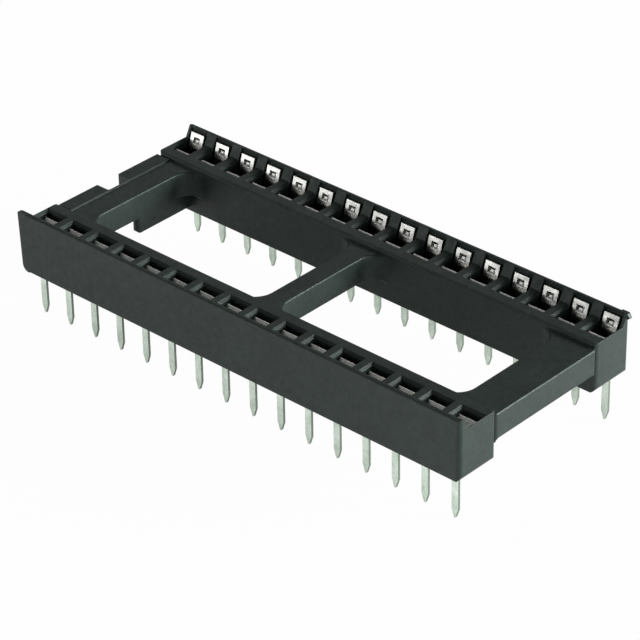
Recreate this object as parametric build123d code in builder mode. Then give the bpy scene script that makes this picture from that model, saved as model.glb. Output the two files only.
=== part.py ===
from build123d import *

import os

# Open-frame dual-in-line socket: one moulded ladder frame and 32 stamped dual-leaf contacts.
# Frame: +X along the contact rows, the orientation notch at -X, +Z up.
# Origin: centre of the contact grid, on the plane where the moulding rests on the board.

# Contact grid, mm
pitch = 2.54
contacts_per_row = 16
row_spacing = 15.24

# Rails. Their faces are placed from the row line, their ends from the outermost pitch.
end_trim = 0.22
rail_outward = 1.03
rail_inward = 2.57
wall_top = 4.72
wall_top_thickness = 0.33
wall_foot_thickness = 0.77
platform_height = 3.88
corner_radius = 0.35
end_foot_radius = 0.55
outer_foot_radius = 0.12
inner_foot_radius = 0.08
platform_edge_radius = 0.22
wall_outer_edge_radius = 0.2
wall_inner_edge_radius = 0.05

# Ladder plate: the cross bars, their webs and the two windows
bar_bottom = 1.62
bar_top = 3.54
end_bar_width = 3.05
middle_bar_width = 1.6
window_corner_radius = 1.5
bar_edge_radius = 0.14
bar_end_reach = 0.12
bar_end_radius = 0.3
cove_radius = 0.28

# Raised strip, orientation notch and foot of the left end bar
strip_width = 1.2
strip_reach = 4.9
strip_height = 0.15
notch_depth = 1.15
notch_width = 2.1
notch_offset = -0.1
notch_corner_radius = 0.15
foot_width = 0.6
foot_bottom = 0.4
foot_overhang = 0.3
foot_corner_radius = 0.3
foot_nose_radius = 0.28

# Lips at two opposite wall ends: their reach, the drop of their tip and foot below the wall top, and the
# rounding of the foot
lip_width = 0.3
lip_root = 0.6
back_lip = (0.18, 0.34, 0.44, 0.05)
front_lip = (0.19, 0.08, wall_top, end_foot_radius)

# Cells, one for each contact
cell_length = 1.64
cell_inward = 1.47
cell_floor = 0.9
lead_in = 0.18
lead_in_angle = 44

# Stamped contacts: strip, leaves and tail. Rises are above the cell floor.
contact_strip = 0.2
slot_clearance = 0.03
outer_leaf_clearance = 0.19
inner_leaf_clearance = 0.07
base_length = 1.04
waist_rise = 0.65
outer_knee_rise = 2.4
inner_knee_rise = 1.5
leaf_gap = 0.2
outer_tip_clearance = 0.05
outer_tip_drop = 0.34
inner_tip_clearance = 0.25
inner_tip_drop = 0.4
bend_radius = 0.22
dish_rim = 0.32
dish_depth = 0.1
dish_taper = 60
tail_length = 3.54
tail_width = 0.54
tail_offset = 0.08
tail_point_length = 0.66
tail_point_width = 0.1

# Worked out from the dimensions above
body_length = contacts_per_row * pitch - 2 * end_trim
half_length = body_length / 2
row_y = row_spacing / 2
half_width = row_y + rail_outward
rail_inner = row_y - rail_inward
rail_width = half_width - rail_inner
cell_inner = row_y - cell_inward
cell_outer = half_width - wall_top_thickness
wall_foot = half_width - wall_foot_thickness
window_length = half_length - end_bar_width - middle_bar_width / 2
window_centre = middle_bar_width / 2 + window_length / 2
bar_reach = rail_inner + bar_end_reach
contact_x = [pitch * (i - (contacts_per_row - 1) / 2) for i in range(contacts_per_row)]
cell_places = [(x, side) for x in contact_x for side in (-1, 1)]

os.makedirs("parts", exist_ok=True)


# Moulded ladder frame
with BuildPart() as housing:
    # Ladder plate
    plate_depth = bar_top - bar_bottom + cove_radius
    with BuildSketch(Plane.XZ) as plate:
        with Locations((0, bar_top - plate_depth / 2)):
            Rectangle(body_length, plate_depth)
        fillet(plate.vertices().group_by(Axis.X)[-1].sort_by(Axis.Y)[-1], bar_edge_radius)
    extrude(amount=half_width, both=True)

    # Windows, with softened upper edges
    with BuildSketch():
        with Locations((-window_centre, 0), (window_centre, 0)):
            RectangleRounded(window_length, 2 * rail_inner, window_corner_radius)
    extrude(amount=wall_top, mode=Mode.SUBTRACT)
    window_edges = housing.edges(Select.LAST).filter_by_position(Axis.Z, bar_top, bar_top)
    fillet(window_edges, bar_edge_radius)

    # Underside of the plate, coved where it meets the rails
    with BuildSketch(Plane.YZ):
        with Locations((0, bar_bottom - rail_inner)):
            RectangleRounded(2 * rail_inner, 2 * rail_inner, cove_radius)
    extrude(amount=half_length, both=True, mode=Mode.SUBTRACT)

    # Reach of the plate into the rails, with rounded outer corners
    with BuildSketch():
        RectangleRounded(body_length, 2 * bar_reach, bar_end_radius)
    extrude(amount=wall_top, mode=Mode.INTERSECT)

    # Raised strip along the left end
    with BuildSketch(Plane.XY.offset(bar_top)):
        with Locations((strip_width / 2 - half_length, 0)):
            Rectangle(strip_width, 2 * strip_reach)
    extrude(amount=strip_height)

    # Rails: outer wall with a sloped inner side, and the platform that the package rests on
    with BuildPart():
        with BuildSketch(Plane.YZ) as rail:
            with BuildLine():
                Polyline(
                    (rail_inner, 0),
                    (half_width, 0),
                    (half_width, wall_top),
                    (cell_outer, wall_top),
                    (wall_foot, platform_height),
                    (rail_inner, platform_height),
                    close=True,
                )
            make_face()
            fillet(rail.vertices().group_by(Axis.X)[-1].sort_by(Axis.Y)[0], outer_foot_radius)
            fillet(rail.vertices().group_by(Axis.X)[0].sort_by(Axis.Y)[0], inner_foot_radius)
            fillet(rail.vertices().group_by(Axis.X)[0].sort_by(Axis.Y)[-1], platform_edge_radius)
            fillet(rail.vertices().group_by(Axis.Y)[-1].sort_by(Axis.X)[-1], wall_outer_edge_radius)
            fillet(rail.vertices().group_by(Axis.Y)[-1].sort_by(Axis.X)[0], wall_inner_edge_radius)
        extrude(amount=half_length, both=True)
        with BuildSketch():
            with Locations((0, rail_inner + rail_width / 2)):
                RectangleRounded(body_length, rail_width, corner_radius)
        extrude(amount=wall_top, mode=Mode.INTERSECT)
        with BuildSketch(Plane.XZ) as ends:
            with Locations((0, wall_top / 2)):
                Rectangle(body_length, wall_top)
            fillet(ends.vertices().group_by(Axis.Y)[0], end_foot_radius)
        extrude(amount=half_width, both=True, mode=Mode.INTERSECT)
        mirror(about=Plane.XZ)

    # Foot under the left end bar, running into the back rail
    foot_right = end_bar_width - half_length
    foot_span = rail_inner + rail_width / 2
    with BuildPart():
        with BuildSketch(Plane.YZ.offset(foot_right)) as foot:
            with Locations(((foot_span - foot_overhang) / 2, (foot_bottom + bar_bottom) / 2)):
                Rectangle(foot_span + foot_overhang, bar_bottom - foot_bottom)
            fillet(foot.vertices().group_by(Axis.X)[0].sort_by(Axis.Y)[0], foot_corner_radius)
        extrude(amount=-foot_width)
        with BuildSketch():
            with Locations((foot_right - foot_width / 2, foot_span - foot_overhang)):
                RectangleRounded(foot_width, 2 * foot_span, foot_nose_radius)
        extrude(amount=wall_top, mode=Mode.INTERSECT)

    # Orientation notch through the left end bar
    with BuildSketch():
        with Locations((-half_length, notch_offset)):
            RectangleRounded(2 * notch_depth, notch_width, notch_corner_radius)
    extrude(amount=wall_top, mode=Mode.SUBTRACT)

    # Lips at the right end of the back wall and the left end of the front wall
    for side, (reach, tip_drop, foot_drop, foot_radius) in ((1, back_lip), (-1, front_lip)):
        with BuildSketch(Plane.XZ.offset(side * (lip_width / 2 - half_width))) as lip:
            with BuildLine():
                Polyline(
                    (side * half_length, wall_top),
                    (side * (half_length + reach), wall_top - tip_drop),
                    (side * half_length, wall_top - foot_drop),
                    (side * (half_length - lip_root), wall_top - foot_drop),
                    (side * (half_length - lip_root), wall_top),
                    close=True,
                )
            make_face()
            foot_corner = max(lip.vertices().group_by(Axis.Y)[0], key=lambda corner: abs(corner.X))
            fillet(foot_corner, foot_radius)
        extrude(amount=lip_width / 2, both=True)

    # Cells for the contacts, open at the top
    cell_depth = cell_outer - cell_inner
    with BuildSketch(Plane.XY.offset(cell_floor)):
        with Locations(*[(x, side * (cell_inner + cell_depth / 2)) for x, side in cell_places]):
            Rectangle(cell_length, cell_depth)
    extrude(amount=wall_top, mode=Mode.SUBTRACT)

    # Lead-in round each cell mouth, level with the platform
    mouth_depth = wall_foot - cell_inner + lead_in
    with BuildSketch(Plane.XY.offset(platform_height)):
        with Locations(*[(x, side * (wall_foot - mouth_depth / 2)) for x, side in cell_places]):
            Rectangle(cell_length + 2 * lead_in, mouth_depth)
    extrude(amount=-lead_in, taper=lead_in_angle, mode=Mode.SUBTRACT)

    # Slots through the floor for the contact tails
    with BuildSketch():
        with Locations(*[(x + side * tail_offset, side * row_y) for x, side in cell_places]):
            Rectangle(tail_width + 2 * slot_clearance, contact_strip + 2 * slot_clearance)
    extrude(amount=cell_floor, mode=Mode.SUBTRACT)

housing.part.label = "housing"
export_step(housing.part, "parts/housing.step")


def stamped_contact(x, side):
    """One contact of the row on the given side: a base, two leaves folded up from it, and the tail."""
    base_z = cell_floor + contact_strip / 2
    waist = base_length / 2 - contact_strip / 2
    waist_z = cell_floor + waist_rise
    knee = leaf_gap / 2 + contact_strip / 2
    outer_knee_z = cell_floor + outer_knee_rise
    outer_tip = cell_outer - outer_tip_clearance - contact_strip / 2 - row_y
    outer_tip_z = wall_top - outer_tip_drop
    inner_tip = row_y - cell_inner - inner_tip_clearance - contact_strip / 2
    outer_width = cell_length - 2 * outer_leaf_clearance
    inner_width = cell_length - 2 * inner_leaf_clearance
    outer_line = [
        (0, base_z),
        (waist, base_z),
        (waist, waist_z),
        (knee, outer_knee_z),
        (outer_tip, outer_tip_z),
    ]
    inner_line = [
        (0, base_z),
        (-waist, base_z),
        (-waist, waist_z),
        (-knee, cell_floor + inner_knee_rise),
        (-inner_tip, platform_height - inner_tip_drop),
    ]
    flare = Vector(0, outer_tip - knee, outer_tip_z - outer_knee_z)
    dish_normal = Vector(0, -side * flare.Z, flare.Y).normalized()
    flare_middle = Vector(x, side * (row_y + knee + flare.Y / 2), outer_knee_z + flare.Z / 2)
    dish_centre = flare_middle + dish_normal * contact_strip / 2
    with BuildPart() as contact:
        for line, width in ((outer_line, outer_width), (inner_line, inner_width)):
            with BuildSketch(Plane.YZ.offset(x)):
                with BuildLine():
                    FilletPolyline(*[(side * (row_y + u), z) for u, z in line], radius=bend_radius)
                trace(line_width=contact_strip)
            extrude(amount=width / 2, both=True)
        # Coined dish in the face of the outer leaf
        with BuildSketch(Plane(origin=dish_centre, x_dir=(1, 0, 0), z_dir=dish_normal)):
            Rectangle(outer_width - 2 * dish_rim, flare.length - 2 * dish_rim)
        extrude(amount=-dish_depth, taper=dish_taper, mode=Mode.SUBTRACT)
        # Tail, tapered to a point
        tail_x = x + side * tail_offset
        shoulder_z = tail_point_length - tail_length
        with BuildSketch(Plane.XZ.offset(-side * row_y)):
            with BuildLine():
                Polyline(
                    (tail_x - tail_width / 2, base_z),
                    (tail_x - tail_width / 2, shoulder_z),
                    (tail_x - tail_point_width / 2, -tail_length),
                    (tail_x + tail_point_width / 2, -tail_length),
                    (tail_x + tail_width / 2, shoulder_z),
                    (tail_x + tail_width / 2, base_z),
                    close=True,
                )
            make_face()
        extrude(amount=contact_strip / 2, both=True)
    return contact.part


# Contact 1 is at the notch end of the front row, and the numbers run on round the socket
places = [(x, -1) for x in contact_x] + [(x, 1) for x in reversed(contact_x)]
for number, (x, side) in enumerate(places, start=1):
    contact = stamped_contact(x, side)
    contact.label = f"contact_{number:02d}"
    export_step(contact, f"parts/{contact.label}.step")
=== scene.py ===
import math

import bpy
from mathutils import Matrix, Vector


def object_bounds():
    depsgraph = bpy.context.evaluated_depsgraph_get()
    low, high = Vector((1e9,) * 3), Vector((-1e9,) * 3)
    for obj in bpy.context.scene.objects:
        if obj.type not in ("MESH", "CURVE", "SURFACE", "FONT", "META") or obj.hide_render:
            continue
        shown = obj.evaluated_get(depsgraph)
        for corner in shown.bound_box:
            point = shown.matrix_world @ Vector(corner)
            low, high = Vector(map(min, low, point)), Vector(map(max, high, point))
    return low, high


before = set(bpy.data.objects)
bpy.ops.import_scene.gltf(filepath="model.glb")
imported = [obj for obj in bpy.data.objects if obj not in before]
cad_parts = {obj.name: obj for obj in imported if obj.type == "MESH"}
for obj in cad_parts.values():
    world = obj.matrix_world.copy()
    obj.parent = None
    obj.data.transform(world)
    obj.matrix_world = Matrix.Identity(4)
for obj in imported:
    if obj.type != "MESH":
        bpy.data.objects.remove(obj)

MM = 0.001
WHITE = (1.0, 1.0, 1.0, 1.0)

# Camera, read off the photograph: its place in metres, its angles in degrees, and its focal length in
# pixels of the photograph
CAMERA_PLACE = Vector((0.12363, -0.13243, 0.11222))
CAMERA_AZIMUTH = 42.96
CAMERA_ELEVATION = 31.78
CAMERA_ROLL = 1.007
FOCAL_PIXELS = 3112.3
IMAGE_PIXELS = 640
SENSOR_WIDTH = 36.0
NEAREST_SEEN = 0.01
FARTHEST_SEEN = 10.0

# Floor: how white it looks to the camera, while the rest of its look keeps the shadow, and how much it glows
# in reflections. Its glow is dimmed in a box under the socket's footprint, a painted shadow, softened by the
# blur width to either side.
FLOOR_HALF_WIDTH = 0.6
FLOOR_PAPER = (0.8, 0.8, 0.8, 1.0)
FLOOR_WHITE_SHARE = 0.98
FLOOR_GLOW = 0.58
PAINTED_SHADOW_GLOW_SHARE = 0.45
PAINTED_SHADOW_BLUR = 0.004

# Room light: its strength at the horizon and overhead, and the height on a unit sphere where the latter starts
ROOM_HORIZON = 0.06
ROOM_ZENITH = 0.04
ZENITH_HEIGHT = 0.7

# Lamps: name, azimuth and elevation in degrees, width in metres, and power in watts
LAMP_DISTANCE = 0.5
LAMPS = (
    ("right", 85, 12, 0.25, 0.5),
    ("right_back", 126, 13, 0.2, 3.9),
    ("front_left", -36, 4, 0.25, 0.72),
    ("front_left_up", -36, 35, 0.25, 0.06),
    ("upper_left", -88, 55, 0.2, 0.25),
    ("back_left", -137, 32, 0.25, 0.12),
)

# Span in which most of a noise texture's values lie
NOISE_LOW = 0.3
NOISE_HIGH = 0.7

# Moulded plastic: tones of the mottling, with CLOUD_SHARE of it from the large clouds, and the pale specks
PLASTIC_DARK = (0.0060, 0.0120, 0.0100)
PLASTIC_PALE = (0.021, 0.034, 0.029)
CLOUD_SHARE = 0.55
SPECK_COLOUR = (0.09, 0.10, 0.095)
SPECK_STARTS = 0.735
SPECK_FULL = 0.76
PLASTIC_SHINIEST = 0.42
PLASTIC_DULLEST = 0.55
PLASTIC_IOR = 1.5
PLASTIC_SHINE_TINT = (0.88, 1.0, 0.93, 1.0)
PLASTIC_EDGE_RADIUS = 0.06 * MM
FLOW_MARK_HEIGHT = 0.03 * MM
GRAIN_HEIGHT = 0.016 * MM

# Plating: two tones each for the bright leaves and the dull tails, and a darker tone on the sheared edges, the
# faces along X.
# Heights over the board are in millimetres.
LEAF_DARK = (0.55, 0.56, 0.53)
LEAF_PALE = (0.74, 0.73, 0.70)
TAIL_DARK = (0.62, 0.74, 0.62)
TAIL_PALE = (0.86, 0.96, 0.86)
LEAF_LOOK_ENDS = 0.4
TAIL_LOOK_BEGINS = 0.0
PATCH_STARTS = 0.35
PATCH_FULL = 0.65
SHEARED_COLOUR = (0.23, 0.28, 0.23)
SHEARED_STARTS = 0.75
SHEARED_FULL = 0.9
SHEARED_EXTRA_ROUGHNESS = 0.2
PLATING_SHINIEST = 0.24
PLATING_DULLEST = 0.34
PLATING_EDGE_RADIUS = 0.05 * MM
ROLLING_STRETCH = (9.0, 9.0, 0.6)
RIPPLE_HEIGHT = 0.03 * MM
STREAK_HEIGHT = 0.0015 * MM
BEVEL_SAMPLES = 6

cad_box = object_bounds()
TAIL_TIP_Z = cad_box[0].z
CENTRE = (cad_box[0] + cad_box[1]) / 2
CONTACTS = sorted(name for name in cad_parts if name.startswith("contact_"))


class Shader:
    """The nodes of a material or a world, with short calls for the ones that it needs."""

    def __init__(self, owner, output="ShaderNodeOutputMaterial"):
        owner.use_nodes = True
        self.nodes = owner.node_tree.nodes
        self.links = owner.node_tree.links
        self.nodes.clear()
        self.output = self.nodes.new(output)

    def fill(self, socket, value):
        if isinstance(value, bpy.types.NodeSocket):
            self.links.new(value, socket)
        else:
            socket.default_value = value

    def add(self, kind, inputs=None, **settings):
        node = self.nodes.new(kind)
        for key, value in settings.items():
            setattr(node, key, value)
        for key, value in (inputs or {}).items():
            self.fill(node.inputs[key], value)
        return node

    def place(self):
        """Object coordinates in millimetres."""
        return self.stretched(self.add("ShaderNodeTexCoord").outputs["Object"], (1 / MM, 1 / MM, 1 / MM))

    def stretched(self, vector, factors):
        node = self.add("ShaderNodeVectorMath", {0: vector, 1: factors}, operation="MULTIPLY")
        return node.outputs["Vector"]

    def part_of(self, vector, letter):
        return self.add("ShaderNodeSeparateXYZ", {0: vector}).outputs[letter]

    def noise(self, vector, scale, detail, roughness):
        node = self.add(
            "ShaderNodeTexNoise",
            {"Vector": vector, "Scale": scale, "Detail": detail, "Roughness": roughness},
        )
        return node.outputs["Fac"]

    def mapped(self, value, low, high, to_low=0.0, to_high=1.0):
        node = self.add(
            "ShaderNodeMapRange",
            {"Value": value, "From Min": low, "From Max": high, "To Min": to_low, "To Max": to_high},
        )
        return node.outputs["Result"]

    def maths(self, operation, a, b=0.0):
        return self.add("ShaderNodeMath", {0: a, 1: b}, operation=operation).outputs[0]

    def colour_between(self, factor, a, b):
        """Colour from a to b by factor."""
        node = self.add("ShaderNodeMix", data_type="RGBA")
        self.fill(node.inputs[0], factor)
        for socket, value in ((node.inputs[6], a), (node.inputs[7], b)):
            self.fill(socket, (*value, 1.0) if isinstance(value, tuple) else value)
        return node.outputs[2]

    def rounded(self, radius):
        """The surface's direction, with its sharp edges shaded as round."""
        return self.add("ShaderNodeBevel", {"Radius": radius}, samples=BEVEL_SAMPLES).outputs["Normal"]

    def bump(self, normal, height, distance, strength):
        node = self.add(
            "ShaderNodeBump",
            {"Height": height, "Distance": distance, "Strength": strength, "Normal": normal},
        )
        return node.outputs["Normal"]

    def finish(self, surface):
        self.links.new(surface, self.output.inputs["Surface"])


def moulding_material():
    """Black glass-filled plastic: satin, with a fine grain, faint flow marks and a few pale specks."""
    material = bpy.data.materials.new("moulding")
    s = Shader(material)
    place = s.place()
    clouds = s.noise(place, scale=0.35, detail=4.0, roughness=0.55)
    mottle = s.noise(place, scale=3.2, detail=3.0, roughness=0.6)
    tone = s.maths(
        "ADD",
        s.mapped(clouds, NOISE_LOW, NOISE_HIGH, to_high=CLOUD_SHARE),
        s.mapped(mottle, NOISE_LOW, NOISE_HIGH, to_high=1 - CLOUD_SHARE),
    )
    colour = s.colour_between(tone, PLASTIC_DARK, PLASTIC_PALE)
    specks = s.mapped(s.noise(place, scale=6.0, detail=2.0, roughness=0.5), SPECK_STARTS, SPECK_FULL)
    colour = s.colour_between(specks, colour, SPECK_COLOUR)
    wear = s.noise(place, scale=2.0, detail=3.0, roughness=0.6)
    rough = s.mapped(wear, NOISE_LOW, NOISE_HIGH, PLASTIC_SHINIEST, PLASTIC_DULLEST)
    grain = s.noise(place, scale=12.0, detail=3.0, roughness=0.6)
    flow_marks = s.noise(place, scale=1.3, detail=2.0, roughness=0.5)
    normal = s.rounded(PLASTIC_EDGE_RADIUS)
    normal = s.bump(normal, flow_marks, FLOW_MARK_HEIGHT, strength=0.6)
    normal = s.bump(normal, grain, GRAIN_HEIGHT, strength=0.8)
    plastic = s.add(
        "ShaderNodeBsdfPrincipled",
        {
            "Base Color": colour,
            "Roughness": rough,
            "Normal": normal,
            "IOR": PLASTIC_IOR,
            "Specular Tint": PLASTIC_SHINE_TINT,
        },
    )
    s.finish(plastic.outputs["BSDF"])
    return material


def plating_material():
    """Tin plating on stamped strip: bright leaves, duller greenish tails, and darker sheared edges, the faces
    along X.
    """
    material = bpy.data.materials.new("contact_plating")
    s = Shader(material)
    place = s.place()
    below_board = s.mapped(s.part_of(place, "Z"), LEAF_LOOK_ENDS, TAIL_LOOK_BEGINS)
    patches = s.mapped(s.noise(place, scale=0.9, detail=3.0, roughness=0.55), PATCH_STARTS, PATCH_FULL)
    leaf = s.colour_between(patches, LEAF_DARK, LEAF_PALE)
    tail = s.colour_between(patches, TAIL_DARK, TAIL_PALE)
    flat = s.colour_between(below_board, leaf, tail)
    facing = s.part_of(s.add("ShaderNodeNewGeometry").outputs["True Normal"], "X")
    sheared = s.mapped(s.maths("ABSOLUTE", facing), SHEARED_STARTS, SHEARED_FULL)
    colour = s.colour_between(sheared, flat, SHEARED_COLOUR)
    streaks = s.noise(s.stretched(place, ROLLING_STRETCH), scale=1.0, detail=2.0, roughness=0.5)
    smooth = s.mapped(streaks, NOISE_LOW, NOISE_HIGH, PLATING_SHINIEST, PLATING_DULLEST)
    rough = s.maths("ADD", smooth, s.maths("MULTIPLY", sheared, SHEARED_EXTRA_ROUGHNESS))
    ripple = s.noise(place, scale=1.4, detail=1.0, roughness=0.4)
    normal = s.rounded(PLATING_EDGE_RADIUS)
    normal = s.bump(normal, ripple, RIPPLE_HEIGHT, strength=0.6)
    normal = s.bump(normal, streaks, STREAK_HEIGHT, strength=0.5)
    metal = s.add(
        "ShaderNodeBsdfPrincipled",
        {"Base Color": colour, "Metallic": 1.0, "Roughness": rough, "Normal": normal},
    )
    s.finish(metal.outputs["BSDF"])
    return material


def dress_nodes():
    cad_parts["housing"].material_slots[0].material = moulding_material()
    plating = plating_material()
    for name in CONTACTS:
        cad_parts[name].material_slots[0].material = plating


def floor_material():
    """White to the camera, with the shadow kept on it, and glowing in reflections, less so under the socket,
    where a painted shadow dims the glow.
    """
    material = bpy.data.materials.new("floor")
    s = Shader(material)
    path = s.add("ShaderNodeLightPath")
    paper = s.add("ShaderNodeBsdfDiffuse", {"Color": FLOOR_PAPER})
    white = s.add("ShaderNodeEmission", {"Color": WHITE, "Strength": 1.0})
    share = s.maths("MULTIPLY", path.outputs["Is Camera Ray"], FLOOR_WHITE_SHARE)
    seen = s.add("ShaderNodeMixShader", {0: share, 1: paper.outputs[0], 2: white.outputs[0]})
    place = s.add("ShaderNodeTexCoord").outputs["Object"]
    past_ends = s.maths("SUBTRACT", s.maths("ABSOLUTE", s.part_of(place, "X")), cad_box[1].x)
    past_sides = s.maths("SUBTRACT", s.maths("ABSOLUTE", s.part_of(place, "Y")), cad_box[1].y)
    clear = s.maths("MAXIMUM", past_ends, past_sides)
    # Painted shadow: the glow is dimmed in a box under the socket's footprint, with a soft edge.
    painted_shadow_share = s.mapped(clear, -PAINTED_SHADOW_BLUR, PAINTED_SHADOW_BLUR, PAINTED_SHADOW_GLOW_SHARE, 1.0)
    glow_with_painted_shadow = s.maths("MULTIPLY", painted_shadow_share, FLOOR_GLOW)
    reflected = s.maths("MULTIPLY", path.outputs["Is Glossy Ray"], glow_with_painted_shadow)
    glow = s.add("ShaderNodeEmission", {"Color": WHITE, "Strength": reflected})
    s.finish(s.add("ShaderNodeAddShader", {0: seen.outputs[0], 1: glow.outputs[0]}).outputs[0])
    return material


def make_floor():
    """Floor under the tail tips."""
    half = FLOOR_HALF_WIDTH
    corners = [(-half, -half), (half, -half), (half, half), (-half, half)]
    mesh = bpy.data.meshes.new("floor")
    mesh.from_pydata([(x, y, TAIL_TIP_Z) for x, y in corners], [], [(0, 1, 2, 3)])
    mesh.materials.append(floor_material())
    floor = bpy.data.objects.new("floor", mesh)
    bpy.context.scene.collection.objects.link(floor)


def direction(azimuth, elevation):
    """Away from the socket. Azimuth 0 is in front of it, 90 at its right."""
    a, e = math.radians(azimuth), math.radians(elevation)
    return Vector((math.sin(a) * math.cos(e), -math.cos(a) * math.cos(e), math.sin(e)))


def add_lamp(name, azimuth, elevation, width, power):
    """A square soft lamp aimed at the socket's centre."""
    out = direction(azimuth, elevation)
    data = bpy.data.lights.new(name, "AREA")
    data.shape = "SQUARE"
    data.size = width
    data.energy = power
    lamp = bpy.data.objects.new(name, data)
    lamp.location = CENTRE + out * LAMP_DISTANCE
    lamp.rotation_mode = "QUATERNION"
    lamp.rotation_quaternion = (-out).to_track_quat("-Z", "Y")
    bpy.context.scene.collection.objects.link(lamp)


def make_world():
    """Room light, brighter near the horizon than overhead."""
    world = bpy.data.worlds.new("studio")
    bpy.context.scene.world = world
    s = Shader(world, "ShaderNodeOutputWorld")
    height = s.part_of(s.add("ShaderNodeTexCoord").outputs["Generated"], "Z")
    strength = s.mapped(height, 0.0, ZENITH_HEIGHT, ROOM_HORIZON, ROOM_ZENITH)
    s.finish(s.add("ShaderNodeBackground", {"Color": WHITE, "Strength": strength}).outputs[0])


def make_camera():
    """The photograph's camera, from its place, angles and focal length."""
    roll = math.radians(CAMERA_ROLL)
    back = direction(CAMERA_AZIMUTH, CAMERA_ELEVATION)
    level = direction(CAMERA_AZIMUTH + 90, 0)
    right = level * math.cos(roll) - back.cross(level) * math.sin(roll)
    up = back.cross(right)
    data = bpy.data.cameras.new("camera")
    data.sensor_width = SENSOR_WIDTH
    data.lens = FOCAL_PIXELS / IMAGE_PIXELS * SENSOR_WIDTH
    data.clip_start = NEAREST_SEEN
    data.clip_end = FARTHEST_SEEN
    camera = bpy.data.objects.new("camera", data)
    camera.matrix_world = Matrix.Translation(CAMERA_PLACE) @ Matrix((right, up, back)).transposed().to_4x4()
    bpy.context.scene.collection.objects.link(camera)
    bpy.context.scene.camera = camera


dress_nodes()
make_floor()
make_world()
for lamp in LAMPS:
    add_lamp(*lamp)
make_camera()

bpy.context.scene.view_settings.view_transform = "Standard"
